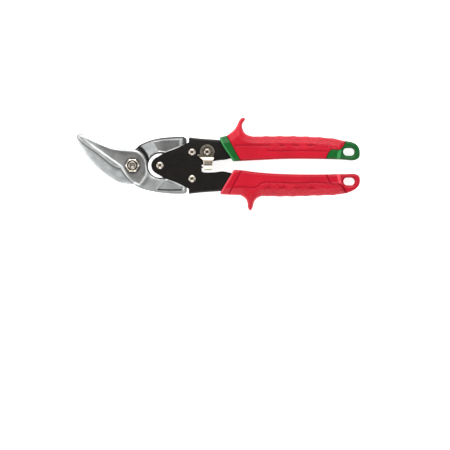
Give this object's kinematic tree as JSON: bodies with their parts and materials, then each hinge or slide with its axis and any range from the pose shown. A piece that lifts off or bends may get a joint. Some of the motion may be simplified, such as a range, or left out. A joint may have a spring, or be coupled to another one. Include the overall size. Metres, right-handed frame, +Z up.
{
  "type": "aviation snips",
  "caption": "Compound-action sheet metal snips with curved offset blades, stamped channel handles, two-part moulded grips with finger horns, a thumb latch and hanging slots.",
  "frame": {"origin": "centre of the closed tool's bounding box, on the flat sides of the grips that it lies on", "axes": "+X from the blade tips to the hanging ends, +Y across both handles to the latch's handle, +Z up, out of the side with the nut and the latch"},
  "size_m": [0.2551, 0.084, 0.023],
  "materials": {
    "forged_jaws": "satin chrome over a forging",
    "black_handles": "black e-coat, semi-gloss",
    "nickel_fasteners": "nickel plate, bright",
    "latch_steel": "dark nickel plate, tumbled",
    "spring_steel": "oiled spring wire",
    "green_core": "moulded, fine texture",
    "red_core": "moulded, fine texture",
    "red_overmould": "soft moulded, fine texture"
  },
  "bodies": {
    "lower_lever": {"lower_handle": "black_handles", "handle_pivot_rivet": "nickel_fasteners", "handle_pivot_sleeve": "spring_steel", "opening_spring": "spring_steel", "lower_jaw_rivet": "nickel_fasteners", "lower_jaw_spacer": "spring_steel", "lower_grip_core": "red_core", "lower_grip": "red_overmould"},
    "upper_lever": {"upper_handle": "black_handles", "upper_jaw_rivet": "nickel_fasteners", "upper_jaw_spacer": "spring_steel", "latch_rivet": "nickel_fasteners", "latch_washer": "spring_steel", "upper_grip_core": "green_core", "upper_grip": "red_overmould"},
    "upper_cutter": {"front_jaw": "forged_jaws", "pivot_bolt": "nickel_fasteners", "pivot_nut": "nickel_fasteners", "bolt_washer": "nickel_fasteners"},
    "lower_cutter": {"back_jaw": "forged_jaws"},
    "latch_plate": {"latch": "latch_steel"}
  },
  "joints": [
    {"name": "handle_open", "type": "hinge", "parent": "lower_lever", "child": "upper_lever", "pos_m": [-0.05203, -0.00145, 0.0115], "axis": [0, 0, 1], "range_deg": [0, 30], "stiffness_Nm_per_rad": 0.5, "springref_deg": 42.97, "deforming": ["opening_spring"]},
    {"name": "upper_cutter_turn", "type": "hinge", "parent": "lower_lever", "child": "upper_cutter", "pos_m": [-0.02323, -0.01335, 0.0115], "axis": [0, 0, 1], "range_deg": [0, 7.33]},
    {"name": "lower_cutter_turn", "type": "hinge", "parent": "upper_lever", "child": "lower_cutter", "pos_m": [-0.02323, 0.01045, 0.0115], "axis": [0, 0, 1], "range_deg": [-7.33, 0]},
    {"name": "latch_swing", "type": "hinge", "parent": "upper_lever", "child": "latch_plate", "pos_m": [-0.00963, 0.01065, 0.0115], "axis": [0, 0, 1], "range_deg": [-3, 20]}
  ],
  "couplings": [
    {"joint": "upper_cutter_turn", "follows": "handle_open", "ratio": 0.2438},
    {"joint": "lower_cutter_turn", "follows": "handle_open", "ratio": -0.2438}
  ]
}
